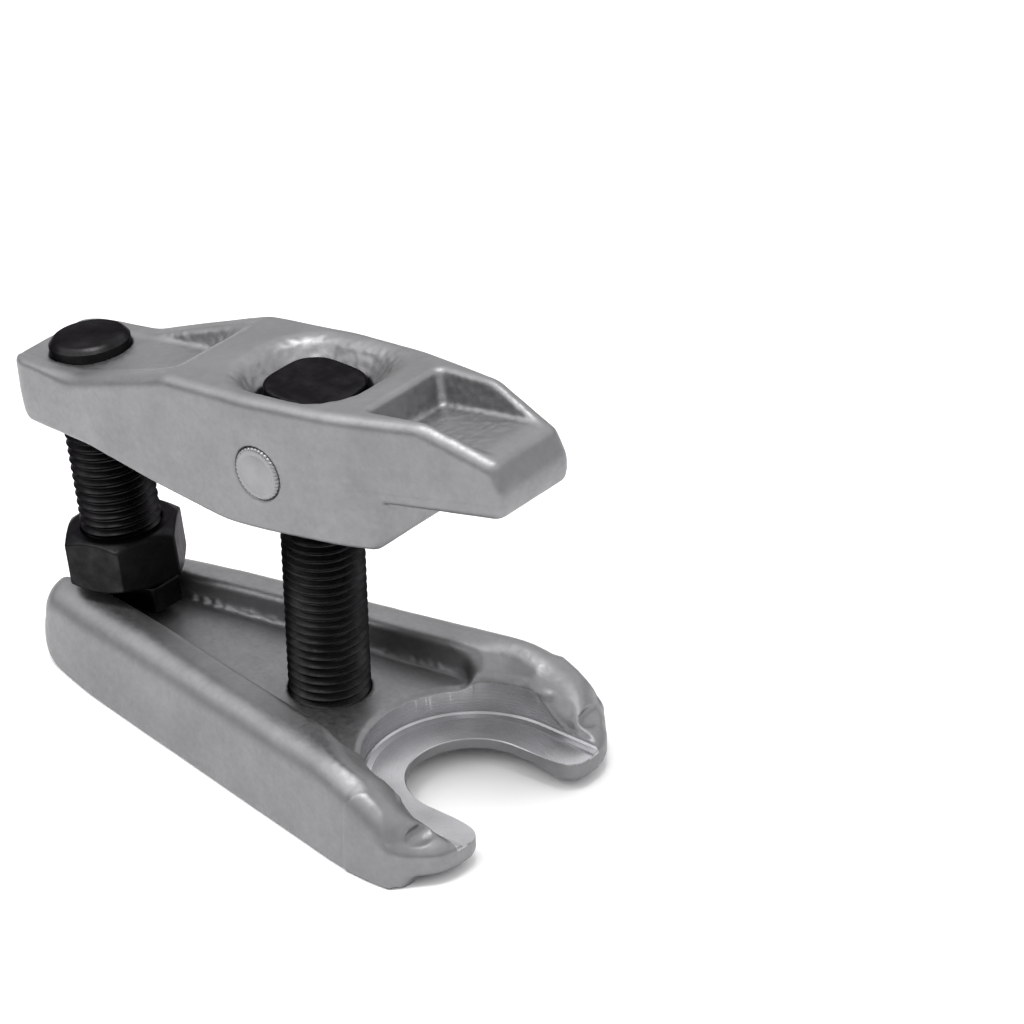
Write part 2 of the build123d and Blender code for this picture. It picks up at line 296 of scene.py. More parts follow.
def net_quads(inside, number):
    """A quad round each grid edge that crosses the surface, from the numbers of its cells."""
    quads = []
    for axis in range(3):
        u, w = (axis + 1) % 3, (axis + 2) % 3
        here = [slice(1, -1)] * 3
        ahead = [slice(1, -1)] * 3
        here[axis], ahead[axis] = slice(0, -1), slice(1, None)
        first, second = inside[tuple(here)], inside[tuple(ahead)]
        edges = np.argwhere(first != second)
        leaving = first[first != second]
        edges[:, u] += 1
        edges[:, w] += 1
        step_u, step_w = np.eye(3, dtype=int)[u], np.eye(3, dtype=int)[w]
        ring = [edges, edges - step_u, edges - step_u - step_w, edges - step_w]
        ring = np.stack([number[tuple(cells.T)] for cells in ring], axis=1)
        quads.append(np.where(leaving[:, None], ring, ring[:, ::-1]))
    return np.concatenate(quads)


def surface_net(values, low, cell):
    """Vertices and quads of a sampled field's zero surface."""
    inside = values < 0
    corners = itertools.product((0, 1), repeat=3)
    count = sum(corner_slice(inside, o).astype(np.int8) for o in corners)
    active = (count > 0) & (count < 8)
    number = np.full(active.shape, -1, np.int64)
    number[active] = np.arange(active.sum())
    return low + cell * net_points(values, active), net_quads(inside, number)


def slope_of(field, points, reach=0.05):
    """Field value and gradient at points."""
    x, y, z = points.T
    gradient = np.stack([
        field(x + reach, y, z) - field(x - reach, y, z),
        field(x, y + reach, z) - field(x, y - reach, z),
        field(x, y, z + reach) - field(x, y, z - reach),
    ], axis=1) / (2 * reach)
    return field(x, y, z), gradient


def settle(field, points, limit):
    """Moves points onto the field's zero surface, each by at most the limit."""
    value, gradient = slope_of(field, points)
    step = gradient * (value / np.maximum((gradient ** 2).sum(1), 0.1))[:, None]
    length = np.linalg.norm(step, axis=1, keepdims=True)
    return points - step * np.minimum(1, limit / np.maximum(length, 1e-9))


def even_out(points, quads):
    """Moves each point half way to the mean of its neighbours."""
    ends = np.concatenate([quads, np.roll(quads, -1, axis=1)], axis=0).reshape(-1)
    others = np.concatenate([np.roll(quads, -1, axis=1), quads], axis=0).reshape(-1)
    weight = np.bincount(ends, minlength=len(points))[:, None]
    mean = np.stack([np.bincount(ends, points[others, k], len(points)) for k in range(3)], axis=1)
    return (points + mean / weight) / 2


def carve(field, low, high, cell, texture=None):
    """Vertices and quads of a field's surface in a box, with a fine texture along the normals."""
    axes = [np.arange(a - 2 * cell, b + 3 * cell, cell) for a, b in zip(low, high)]
    x, y, z = (a.reshape([-1 if i == k else 1 for i in range(3)]) for k, a in enumerate(axes))
    values = np.broadcast_to(field(x, y, z), [len(a) for a in axes])
    points, quads = surface_net(np.ascontiguousarray(values), np.array([a[0] for a in axes]), cell)
    points = settle(field, points, cell)
    for _ in range(2):
        points = settle(field, even_out(points, quads), cell)
    if texture is not None:
        _, gradient = slope_of(field, points)
        normal = gradient / np.maximum(np.linalg.norm(gradient, axis=1, keepdims=True), 1e-9)
        points = points + normal * texture(*points.T)[:, None]
    return points, quads


def add_piece(name, points, faces, place, materials, body, node):
    """A smooth mesh piece from millimetre points in a local frame, riding on its body."""
    mesh = bpy.data.meshes.new(name)
    matrix = np.array(place)
    world = (points @ matrix[:3, :3].T + matrix[:3, 3]) * MM
    mesh.from_pydata(world.tolist(), [], faces.tolist() if hasattr(faces, "tolist") else faces)
    mesh.validate()
    mesh.update()
    mesh.shade_smooth()
    for material in materials:
        mesh.materials.append(material)
    piece = bpy.data.objects.new(name, mesh)
    bpy.context.scene.collection.objects.link(piece)
    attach(piece, body)
    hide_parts(node)
    return piece


# ---------------------------------------------------------------- lower fork


def flank(x):
    """Half width of the fork at the flanks' top."""
    return FLANK_MIDDLE + FLANK_SLOPE * x


FORK_PLAN = rounded([
    (FORK_REAR, -10, 0),
    (FORK_REAR, flank(FORK_REAR), 12),
    (FLANK_END, flank(FLANK_END), 70),
    (TIP_BACK, TIP_SIDE, 0),
    (TIP_BACK, -10, 0),
])
TIP_PLAN = rounded([
    (44, TIP_SIDE, 0),
    (57.0, TIP_SIDE, 11),
    (TIP_X, 33.0, 13),
    (TIP_X, MOUTH_HALF + 0.1, 6.5),
    (44, MOUTH_HALF + 0.1, 0),
])
FORK_SIDE = rounded([
    (FORK_REAR, 0, 13.5),
    (FORK_REAR, 21.8, 8.2),
    (-50, 24.4, 60),
    (47.6, RIB_TOP, 38),
    (62.2, TIP_TOP + 1.0, 2.5),
    (72, TIP_TOP - 0.8, 0),
    (72, UNDER_TIP, 0),
    (61.6, UNDER_TIP, 0.8),
    (60.2, 0, 1.5),
])
SEAT_LEVELS = [                      # distance from the seat's axis and height
    (MOUTH_HALF - 0.3, SEAT_FLOOR - 0.55), (MOUTH_HALF + 0.25, SEAT_FLOOR), (SEAT_R - 2.1, SEAT_FLOOR),
    (SEAT_R - 2.1, SEAT_FLOOR + 0.5), (SEAT_R - 0.5, SEAT_FLOOR + 0.8), (SEAT_R, SEAT_FLOOR + 1.3),
    (SEAT_R, RIB_TOP + 5),
]


def channel_half(x, z):
    """Half width of the channel between the ribs."""
    widening = CHANNEL_SLOPE * np.maximum(x - CHANNEL_WIDENS, 0)
    return CHANNEL_HALF + widening + CHANNEL_LEAN * (z - WEB_TOP)


def fork_blank(x, y, z):
    """The fork's outside: its plan with leaning flanks, cut to its side outline."""
    draft = (FLANK_DRAFT + FLANK_DRAFT_SLOPE * x) * ramp(x, FORK_REAR - 15, FORK_REAR + 35)
    draft = draft * np.clip(1 - z / RIB_TOP, 0, 1) * (1 - 0.6 * ramp(x, 58, 64))
    plan = join(inside_outline(FORK_PLAN, x, y), inside_outline(TIP_PLAN, x, y), 2) - draft
    side = inside_outline(FORK_SIDE, x, z)
    tip = ramp(x, 59, 63)
    foot_edge = 1.5 + 1.3 * tip
    crest_edge = 7.0 - 2.0 * tip
    return meet(plan, side, foot_edge + (crest_edge - foot_edge) * ramp(z, 6, 14))


def fork_channel(x, y, z):
    """The open channel between the ribs, negative inside."""
    front = x - CHANNEL_FRONT - 0.5 * (z - WEB_TOP)
    channel = meet(y - channel_half(x, z), front, 8)
    return meet(channel, WEB_TOP - z, 1.8)


def fork_underside(x, y, z):
    """The shallow recess under the web, negative inside."""
    underside = meet(y - channel_half(x, z) - 5.5, z - UNDER_WEB, 2.0)
    return meet(underside, np.maximum(FORK_REAR + 14 - x, x - TIP_BACK), 2.0)


def tip_underside(x, y, z):
    """The space under the tips, which comes down towards their ends, negative inside."""
    level = UNDER_WEB - (UNDER_WEB - UNDER_TIP) * ramp(x, 50, 66)
    return meet(meet(y - UNDER_TIP_HALF, z - level, 0.8), 44 - x)


def seat_slope(x, y, z):
    """The flared rise from the seat to the ribs, negative inside."""
    base = 19.8 - 8.2 * ramp(x, 44, 57)
    lean = 1.2 - 0.35 * ramp(x, 46, 57)
    slope = (seat_reach(x, y) - SEAT_R - lean * (z - base)) / np.sqrt(1 + lean * lean)
    return meet(slope, SEAT_FLOOR + 1.5 - z, 1.0)


def rib_dent(x, y, z):
    """The hollow at the end of a rib, negative inside."""
    offsets = zip((x, y, z), DENT_MIDDLE, DENT_HALF)
    reach = np.sqrt(sum(((value - middle) / half) ** 2 for value, middle, half in offsets))
    return (reach - 1) * DENT_HALF[2]


def forged_fork(x, y, z):
    """Signed distance to the fork as forged, before the seat and the mouth are cut."""
    y = np.abs(y)
    body = cut(fork_blank(x, y, z), fork_channel(x, y, z), CUT_EDGE_R)
    body = cut(cut(body, fork_underside(x, y, z), 1.0), tip_underside(x, y, z))
    body = cut(body, seat_slope(x, y, z), 2.2)
    hollow = meet(seat_reach(x, y) - SEAT_R + 0.5, SEAT_FLOOR + 3 - z)
    body = cut(body, hollow, CUT_EDGE_R)
    return cut(body, rib_dent(x, y, z), 0.4)


def seat_reach(x, y):
    """Distance from the seat's axis, and past it from its middle line."""
    return np.where(x > SEAT_X, np.abs(y), np.hypot(x - SEAT_X, y))


def fork_field(x, y, z):
    """Signed distance to the forged fork with its mouth and its bore, before the seat is turned."""
    mouth = seat_reach(x, y) - MOUTH_HALF - 0.03 * np.maximum(x - SEAT_X, 0)
    body = cut(forged_fork(x, y, z), mouth, 0.6 + 1.4 * ramp(x, 54, 66))
    return cut(body, np.hypot(x, y) - BORE_R, 0.4)


# height, size and seed of each layer of lumps
FORK_LUMPS = [(0.10, 13, 2), (0.05, 5, 3), (0.012, 1.6, 4)]


def fork_texture(x, y, z):
    """Forged unevenness, rougher along the foot of the channel's walls and nil on the seat."""
    turned = (seat_reach(x, y) < SEAT_R + 0.4) & (z < WEB_TOP - 0.3)
    near_foot = hump(np.abs(y) - channel_half(x, z), 0.6, 1.3) * hump(z, WEB_TOP + 0.8, 1.3)
    ragged = near_foot * (0.40 * lumps(x, y, z, 1.8, 1) + 0.35)
    broad = unevenness(x, y, z, FORK_LUMPS)
    inside_box = ramp(z, 0.0, 1.5) * ramp(x, FORK_REAR, FORK_REAR + 1.5)
    return np.where(turned, 0, (broad - FORK_LUMPS[0][0]) * inside_box + ragged)


# ---------------------------------------------------------------- upper lever

LEVER_PLAN = rounded([
    (-97.9, -10, 0),
    (-97.9, 15.2, 9),
    (-63, 20.2, 60),
    (-40, 22.3, 60),
    (-3, 23.9, 80),
    (24, 22.5, 80),
    (48, 17.8, 60),
    (75.3, 13.1, 3.5),
    (75.3, -10, 0),
])
LEVER_SIDE = rounded([
    (-97.9, -7.0, 7.5),
    (-97.9, BOSS_TOP, 2.5),
    (-70, BOSS_TOP, 20),
    (-31, LEVER_TOP, 14),
    (51.5, LEVER_TOP, 12),
    (71.8, 12.4, 4),
    (75.6, 4.2, 6),
    (72.6, NOSE_UNDER, 5.0),
    (38.6, NOSE_UNDER, 0.8),
    (36.6, BELLY, 5),
    (-15, BELLY - 0.8, 30),
    (-65, -8.0, 40),
])
LEVER_DRAFT = 0.03
SLOT_X = 1.1                         # the slot's middle, ahead of the cross pin
SLOT_HALF = (14.2, 12.4)
SLOT_TOP = 13.6
RIM_HALF = (21.0, 17.3)
RIM_X = 3.0


def pocket_field(x, y, z):
    """The central pocket and the slot under it, negative inside."""
    rise = np.clip((z - SLOT_TOP) / (LEVER_TOP - SLOT_TOP), 0, 1.2)
    half_x = SLOT_HALF[0] + (RIM_HALF[0] - SLOT_HALF[0]) * rise
    half_y = SLOT_HALF[1] + (RIM_HALF[1] - SLOT_HALF[1]) * rise
    centre = SLOT_X + (RIM_X - SLOT_X) * rise
    return 0.75 * box_field(x - centre, y, half_x, half_y, 9 + 5 * rise)


def lever_blank(x, y, z):
    """The lever's outside, with a faint parting line on the nose's flanks."""
    line_level = 0.2 + 0.02 * (x - 30)
    parting = 0.16 * hump(z, line_level, 0.45) * ramp(x, 20, 32)
    plan = inside_outline(LEVER_PLAN, x, y) + LEVER_DRAFT * np.abs(z - 2) + 0.16 - parting
    side = inside_outline(LEVER_SIDE, x, z)
    return meet(plan, side, 3.2 - 1.2 * ramp(-z, -2, 6) - 1.4 * ramp(-x, 72, 86) * ramp(z, 0, 6))


def wedge_recess(x, y, z):
    """The recess behind the pocket, between a level floor and a sloping front, negative inside."""
    height = z - BOSS_TOP
    wedge = meet(y - WEDGE_HALF - 0.42 * height, 0.61 * (x - WEDGE_FRONT) - 0.79 * height, 3)
    return meet(wedge, BOSS_TOP + 0.02 * (x + 70) - z, 1.2)


def nose_recess(x, y, z):
    """The recess in the nose's top, open at the front, negative inside."""
    sides = y - RECESS_HALF + 0.07 * (x - 33) - 0.3 * (z - 12)
    recess = meet(sides, RECESS_REAR - x - 0.28 * (z - 14), 2)
    return meet(recess, RECESS_FLOOR + 0.067 * (x - 35.5) - z, 1.2)


def lever_field(x, y, z):
    """Signed distance to the forged lever with its pockets and bores."""
    y = np.abs(y)
    body = cut(lever_blank(x, y, z), pocket_field(x, y, z), 0.6 + 1.6 * ramp(z, 14, 19))
    body = cut(body, wedge_recess(x, y, z), 1.5)
    body = cut(body, nose_recess(x, y, z), 1.4)
    body = cut(body, np.hypot(x - SPINDLE_X, y) - BORE_R, 0.5)
    pin_reach = np.hypot(x, z) - PIN_R
    countersink = pin_reach - 0.3 - (y - PIN_HALF + 0.6)
    return cut(body, np.minimum(pin_reach - 0.12, countersink), 0.15)


LEVER_LUMPS = [(0.09, 14, 11), (0.045, 5, 12), (0.01, 1.6, 13)]


def lever_texture(x, y, z):
    """Forged unevenness, rougher on the walls of the pockets."""
    inner = -np.abs(y)
    pocket_wall = hump(pocket_field(x, y, z), 0, 1.5) * ramp(z, 6, 9)
    wedge_wall = ramp(inner, -15.5, -13) * ramp(z, BOSS_TOP - 0.3, BOSS_TOP + 1) * ramp(-x, 30, 34)
    recess_wall = ramp(inner, -14, -11) * ramp(z, 11, 12.5) * ramp(x, 33, 35) * ramp(-x, -66, -60)
    rough = np.maximum(np.maximum(pocket_wall, wedge_wall), recess_wall)
    off_spindle = ramp(np.hypot(x - SPINDLE_X, y), BORE_R, BORE_R + 1)
    bores = off_spindle * ramp(np.hypot(x, z), PIN_R, PIN_R + 1.5)
    broad = unevenness(x, y, z, LEVER_LUMPS) - LEVER_LUMPS[0][0]
    return broad * bores + rough * bores * 0.13 * lumps(x, y, z, 1.5, 14)


# ---------------------------------------------------------------- small solid parts


def nut_field(x, y, z):
    """Hex with both faces chamfered and a threaded bore."""
    sides = [math.radians(NUT_TURN + 30 + 60 * k) for k in range(6)]
    hexagon = x * math.cos(sides[0]) + y * math.sin(sides[0]) - NUT_HALF
    for angle in sides[1:]:
        hexagon = meet(hexagon, x * math.cos(angle) + y * math.sin(angle) - NUT_HALF, 0.5)
    r = np.hypot(x, y)
    faces = np.maximum(z - NUT_TOP, NUT_BOTTOM - z)
    cones = (r - NUT_FACE_R) * 0.5 + faces * 0.866
    body = meet(meet(hexagon, faces, 0.3), cones, 0.35)
    return cut(body, r - THREAD_R + 0.05, 0.5)


def foot_field(x, y, z):
    """Block with round edges and a bore for the journal."""
    centre = (FOOT_TOE + FOOT_HEEL) / 2
    block = box_field(x - centre, y, (FOOT_TOE - FOOT_HEEL) / 2, FOOT_HALF, 1.3)
    ends = np.maximum(z - FOOT_TOP, FOOT_BOTTOM - z)
    body = meet(block, ends, 0.7)
    bore = meet(np.hypot(x, y) - JOURNAL_R - 0.05, -61.3 - z)
    return cut(body, bore, 0.2)


def head_field(x, y, z):
    """Square head with turned corners and the eye for the cross pin."""
    square = box_field(x, y, HEAD_HALF, HEAD_HALF, 0.6)
    plan = meet(square, np.hypot(x, y) - HEAD_TURNED_R, 1.5)
    body = meet(plan, np.maximum(z - HEAD_TOP, HEAD_UNDER - z), 0.9)
    return cut(body, np.hypot(x, z - PIVOT.z) - PIN_R - 0.05, 0.3)


def lathe(profile, steps=96):
    """Closed solid of revolution from (radius, height) points, which start and end on the axis."""
    points = [(0, 0, profile[0][1])]
    rings = []
    for r, z in profile[1:-1]:
        rings.append(len(points))
        for k in range(steps):
            a = 2 * math.pi * k / steps
            points.append((r * math.cos(a), r * math.sin(a), z))
    points.append((0, 0, profile[-1][1]))
    last = len(points) - 1
    faces = []
    for k in range(steps):
        j = (k + 1) % steps
        faces.append((0, rings[0] + j, rings[0] + k))
        for low, high in zip(rings, rings[1:]):
            faces.append((low + k, low + j, high + j, high + k))
        faces.append((rings[-1] + k, rings[-1] + j, last))
    return np.array(points, float), faces


def thread_profile():
    """Radius below the crest and share of the pitch, for one turn of a rounded M22 thread."""
    return [
        (0.0, 0.00), (0.10, 0.06), (0.38, 0.14), (1.15, 0.36), (THREAD_DEPTH, 0.44),
        (THREAD_DEPTH, 0.56), (1.15, 0.64), (0.38, 0.86), (0.10, 0.94),
    ]


def thread_points(bottom, count, fade_from, fade_to, steps):
    """Points of the thread's profile at each step of its helix."""
    points = []
    for n in range(count):
        angle = 2 * math.pi * n / steps
        base = bottom - 1.5 * PITCH + PITCH * n / steps
        for depth, share in thread_profile():
            z = base + share * PITCH
            kept = 1 - float(ramp(z, fade_from, fade_to))
            r = THREAD_R - depth * kept
            points.append((r * math.cos(angle), r * math.sin(angle), z))
    return points


def thread_sides(count, rows, steps):
    """Faces between the steps of the helix, and from each turn to the next."""
    faces = []
    for n in range(count - 1):
        for k in range(rows - 1):
            a = n * rows + k
            faces.append((a, a + rows, a + rows + 1, a + 1))
        if n + steps < count - 1:
            a = n * rows + rows - 1
            b = (n + steps) * rows
            faces.append((a, a + rows, b + rows, b))
    return faces


def fan(loop, centre):
    """Triangles from a closed loop to its centre."""
    return [(a, centre, b) for a, b in zip(loop, loop[1:] + loop[:1])]


def thread_blank(bottom, top, fade_from, fade_to, steps=72):
    """Closed helical thread between two heights, fading to a plain rod between two more."""
    rows = len(thread_profile())
    count = (int((top - bottom) / PITCH) + 3) * steps + 1
    points = thread_points(bottom, count, fade_from, fade_to, steps)
    faces = thread_sides(count, rows, steps)
    low_centre, high_centre = len(points), len(points) + 1
    points.append((0, 0, bottom - 2.5 * PITCH))
    points.append((0, 0, bottom - 0.5 * PITCH + PITCH * count / steps))
    low_loop = [n * rows for n in range(steps + 1)] + list(range(rows - 1, 0, -1))
    faces += fan(low_loop, low_centre)
    high_loop = [n * rows + rows - 1 for n in range(count - 1 - steps, count)]
    high_loop += [(count - 1) * rows + k for k in range(rows - 2, -1, -1)]
    faces += [(a, b, centre) for a, centre, b in fan(high_loop, high_centre)]
    return np.array(points, float), faces


def loose_mesh(name, points, faces):
    """A helper object in millimetres, used by a boolean and then removed."""
    mesh = bpy.data.meshes.new(name)
    mesh.from_pydata(np.asarray(points).tolist(), [], [list(map(int, f)) for f in faces])
    mesh.validate()
    mesh.update()
    helper = bpy.data.objects.new(name, mesh)
    bpy.context.scene.collection.objects.link(helper)
    return helper


def combine(first, second, operation, solver="EXACT"):
    """Applies a boolean of two helpers and removes both."""
    modifier = first.modifiers.new("combine", "BOOLEAN")
    modifier.operation = operation
    modifier.solver = solver
    modifier.object = second
    graph = bpy.context.evaluated_depsgraph_get()
    mesh = bpy.data.meshes.new_from_object(first.evaluated_get(graph))
    result = bpy.data.objects.new(first.name, mesh)
    bpy.context.scene.collection.objects.link(result)
    for helper in (first, second):
        bpy.data.objects.remove(helper)
    return result


def finish_helper(helper, name, place, material, body, node, angle=32):
    """Turns a helper in a local frame into a piece with crisp edges above an angle."""
    mesh = helper.data
    mesh.transform(place)
    mesh.transform(Matrix.Scale(MM, 4))
    mesh.materials.clear()
    mesh.materials.append(material)
    mesh.shade_smooth()
    mesh.set_sharp_from_angle(angle=math.radians(angle))
    helper.name = name
    mesh.name = name
    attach(helper, body)
    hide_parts(node)
    return helper


# ---------------------------------------------------------------- materials


def new_material(name):
    """A material with its nodes, its links and its shader."""
    material = bpy.data.materials.new(name)
    material.use_nodes = True
    nodes = material.node_tree.nodes
    return material, nodes, material.node_tree.links, nodes["Principled BSDF"]


def noise(nodes, links, source, scale, detail=3.0, rough=0.55):
    """A noise texture in object space; the scale is in lumps per metre."""
    texture = nodes.new("ShaderNodeTexNoise")
    texture.inputs["Scale"].default_value = scale
    texture.inputs["Detail"].default_value = detail
    texture.inputs["Roughness"].default_value = rough
    links.new(source, texture.inputs["Vector"])
    return texture.outputs["Fac"]


def blend_values(nodes, links, factor, low, high, at_low=0.0, at_high=1.0):
    """Maps a factor to a range of values."""
    node = nodes.new("ShaderNodeMapRange")
    node.inputs["From Min"].default_value = low
    node.inputs["From Max"].default_value = high
    node.inputs["To Min"].default_value = at_low
    node.inputs["To Max"].default_value = at_high
    links.new(factor, node.inputs["Value"])
    return node.outputs["Result"]


def blend_colours(nodes, links, factor, dark, light):
    """A colour between two, by a factor."""
    node = nodes.new("ShaderNodeMix")
    node.data_type = "RGBA"
    node.inputs["A"].default_value = (*dark, 1)
    node.inputs["B"].default_value = (*light, 1)
    links.new(factor, node.inputs["Factor"])
    return node.outputs["Result"]


def add_bump(nodes, links, height, distance, strength, below=None):
    """A bump layer; the distance is the height of the relief in metres."""
    node = nodes.new("ShaderNodeBump")
    node.inputs["Distance"].default_value = distance
    node.inputs["Strength"].default_value = strength
    links.new(height, node.inputs["Height"])
    if below is not None:
        links.new(below, node.inputs["Normal"])
    return node.outputs["Normal"]


def object_space(nodes):
    """Object coordinates, which move with the piece."""
    return nodes.new("ShaderNodeTexCoord").outputs["Object"]


def blasted_steel():
    """Grit-blasted forging: satin grey with fine grain and cloudy patches."""
    material, nodes, links, shader = new_material("blasted_steel")
    where = object_space(nodes)
    shader.inputs["Metallic"].default_value = 1.0
    clouds = noise(nodes, links, where, 55, 4, 0.6)
    grain = noise(nodes, links, where, 2600, 2, 0.6)
    pits = noise(nodes, links, where, 700, 3, 0.65)
    mottle = blend_values(nodes, links, noise(nodes, links, where, 330, 4, 0.65), 0.35, 0.65)
    tone = blend_values(nodes, links, clouds, 0.35, 0.65)
    colour = blend_colours(nodes, links, tone, (0.226, 0.2235, 0.2275), (0.258, 0.2555, 0.261))
    speckle = blend_colours(nodes, links, mottle, (0.955, 0.955, 0.955), (1.02, 1.02, 1.02))
    mixed = nodes.new("ShaderNodeMix")
    mixed.data_type = "RGBA"
    mixed.blend_type = "MULTIPLY"
    mixed.inputs["Factor"].default_value = 1.0
    links.new(colour, mixed.inputs["A"])
    links.new(speckle, mixed.inputs["B"])
    links.new(mixed.outputs["Result"], shader.inputs["Base Color"])
    links.new(blend_values(nodes, links, pits, 0.3, 0.7, 0.42, 0.54), shader.inputs["Roughness"])
    relief = add_bump(nodes, links, pits, 0.00009, 0.55)
    relief = add_bump(nodes, links, grain, 0.00003, 0.5, relief)
    links.new(relief, shader.inputs["Normal"])
    return material


def around_seat(nodes, links, offset):
    """Direction round the seat's axis, for the shader's tangent."""
    around = nodes.new("ShaderNodeVectorMath")
    around.operation = "CROSS_PRODUCT"
    around.inputs[0].default_value = (0, 0, 1)
    links.new(offset, around.inputs[1])
    turned = nodes.new("ShaderNodeVectorTransform")
    turned.vector_type = "VECTOR"
    turned.convert_from = "OBJECT"
    turned.convert_to = "WORLD"
    links.new(around.outputs["Vector"], turned.inputs["Vector"])
    return turned.outputs["Vector"]


def ring_noise(nodes, links, offset):
    """Noise that is the same all round the seat's axis, like the marks of a turning tool."""
    parts = nodes.new("ShaderNodeSeparateXYZ")
    flat = nodes.new("ShaderNodeCombineXYZ")
    radius = nodes.new("ShaderNodeVectorMath")
    radius.operation = "LENGTH"
    reach = nodes.new("ShaderNodeMath")
    reach.operation = "ADD"
    ring = nodes.new("ShaderNodeCombineXYZ")
    links.new(offset, parts.inputs["Vector"])
    links.new(parts.outputs["X"], flat.inputs["X"])
    links.new(parts.outputs["Y"], flat.inputs["Y"])
    links.new(flat.outputs["Vector"], radius.inputs[0])
    links.new(radius.outputs["Value"], reach.inputs[0])
    links.new(parts.outputs["Z"], reach.inputs[1])
    links.new(reach.outputs["Value"], ring.inputs["X"])
    return noise(nodes, links, ring.outputs["Vector"], 3500, 3, 0.7)


def turned_steel():
    """Turned steel of the seat: brighter, with fine rings round the seat's axis."""
    material, nodes, links, shader = new_material("turned_steel")
    where = object_space(nodes)
    shader.inputs["Metallic"].default_value = 1.0
    shader.inputs["Anisotropic"].default_value = 0.85
    shader.inputs["Anisotropic Rotation"].default_value = 0.25
    offset = nodes.new("ShaderNodeVectorMath")
    offset.operation = "SUBTRACT"
    offset.inputs[1].default_value = ((PIVOT.x + SEAT_X) * MM, 0, 0)
    links.new(where, offset.inputs[0])
    from_axis = offset.outputs["Vector"]
    links.new(around_seat(nodes, links, from_axis), shader.inputs["Tangent"])
    rings = ring_noise(nodes, links, from_axis)
    tone = blend_values(nodes, links, noise(nodes, links, where, 90, 3), 0.35, 0.65)
    colour = blend_colours(nodes, links, tone, (0.36, 0.36, 0.37), (0.43, 0.43, 0.443))
    links.new(colour, shader.inputs["Base Color"])
    links.new(blend_values(nodes, links, rings, 0.3, 0.7, 0.24, 0.33), shader.inputs["Roughness"])
    links.new(add_bump(nodes, links, rings, 0.00002, 0.35), shader.inputs["Normal"])
    return material


def black_oxide():
    """Black oxide on machined steel: near black, slightly glossy, rubbed lighter in places."""
    material, nodes, links, shader = new_material("black_oxide")
    where = object_space(nodes)
    shader.inputs["Metallic"].default_value = 1.0
    clouds = noise(nodes, links, where, 180, 4, 0.65)
    grain = noise(nodes, links, where, 3000, 2, 0.6)
    shader.inputs["Specular Tint"].default_value = (0.45, 0.44, 0.45, 1)
    rubbed = blend_values(nodes, links, clouds, 0.4, 0.75)
    colour = blend_colours(nodes, links, rubbed, (0.016, 0.0155, 0.016), (0.032, 0.031, 0.032))
    links.new(colour, shader.inputs["Base Color"])
    links.new(blend_values(nodes, links, clouds, 0.3, 0.7, 0.42, 0.30), shader.inputs["Roughness"])
    links.new(add_bump(nodes, links, grain, 0.00002, 0.4), shader.inputs["Normal"])
    return material


def pin_steel():
    """Ground steel of the cross pin, a little lighter than the forging."""
    material, nodes, links, shader = new_material("pin_steel")
    where = object_space(nodes)
    shader.inputs["Metallic"].default_value = 1.0
    clouds = noise(nodes, links, where, 240, 4, 0.6)
    grain = noise(nodes, links, where, 2600, 2, 0.6)
    tone = blend_values(nodes, links, clouds, 0.35, 0.65)
    colour = blend_colours(nodes, links, tone, (0.25, 0.248, 0.252), (0.29, 0.288, 0.293))
    links.new(colour, shader.inputs["Base Color"])
    links.new(blend_values(nodes, links, clouds, 0.3, 0.7, 0.36, 0.46), shader.inputs["Roughness"])
    links.new(add_bump(nodes, links, grain, 0.00003, 0.5), shader.inputs["Normal"])
    return material


def pale_floor():
    """Matt white paper."""
    material, nodes, links, shader = new_material("pale_floor")
    where = object_space(nodes)
    tone = noise(nodes, links, where, 6, 2)
    colour = blend_colours(nodes, links, tone, (0.90, 0.90, 0.90), (0.91, 0.91, 0.91))
    links.new(colour, shader.inputs["Base Color"])
    shader.inputs["Roughness"].default_value = 0.9
    return material


# ---------------------------------------------------------------- pieces


def seat_cutter(steps=120, front=30):
    """The turned seat as a closed helper: round behind its axis and straight in front of it."""
    turns = [math.radians(90 + 180 * k / steps) for k in range(steps + 1)]
    points = []
    for reach, level in SEAT_LEVELS:
        points.append((SEAT_X + front, reach, level))
        points += [(SEAT_X + reach * math.cos(a), reach * math.sin(a), level) for a in turns]
        points.append((SEAT_X + front, -reach, level))
    count = steps + 3
    faces = [list(range(count - 1, -1, -1)), [len(points) - count + k for k in range(count)]]
    for low in range(0, len(points) - count, count):
        for k in range(count):
            j = (k + 1) % count
            faces.append((low + k, low + j, low + count + j, low + count + k))
    return loose_mesh("seat", points, faces)


def make_fork(forged, turned):
    """The forged fork; faces on the seat take the turned material."""
    low = (FORK_REAR, -46, 0)
    points, quads = carve(fork_field, low, (TIP_X + 0.5, 46, RIB_TOP), FINE, fork_texture)
    fork = combine(loose_mesh("fork", points, quads), seat_cutter(), "DIFFERENCE", "MANIFOLD")
    mesh = fork.data
    centres = np.empty(len(mesh.polygons) * 3)
    mesh.polygons.foreach_get("center", centres)
    x, y, z = centres.reshape(-1, 3).T
    reach = seat_reach(x, y)
    on_seat = (reach < SEAT_R + 0.02) & (reach > MOUTH_HALF - 0.4) & (z > SEAT_FLOOR - 0.24)
    fork = finish_helper(fork, "fork_forging", FORK_FRAME, forged, "fork", "lower_fork")
    mesh.materials.append(turned)
    mesh.polygons.foreach_set("material_index", on_seat.astype(np.int32))
    return fork


def make_lever(forged):
    """The forged lever."""
    low, high = (-97.4, -23, BELLY), (74.5, 23, LEVER_TOP)
    points, quads = carve(lever_field, low, high, FINE, lever_texture)
    return add_piece(
        "lever_forging", points, quads, LEVER_FRAME, (forged,), "lever", "upper_lever"
    )


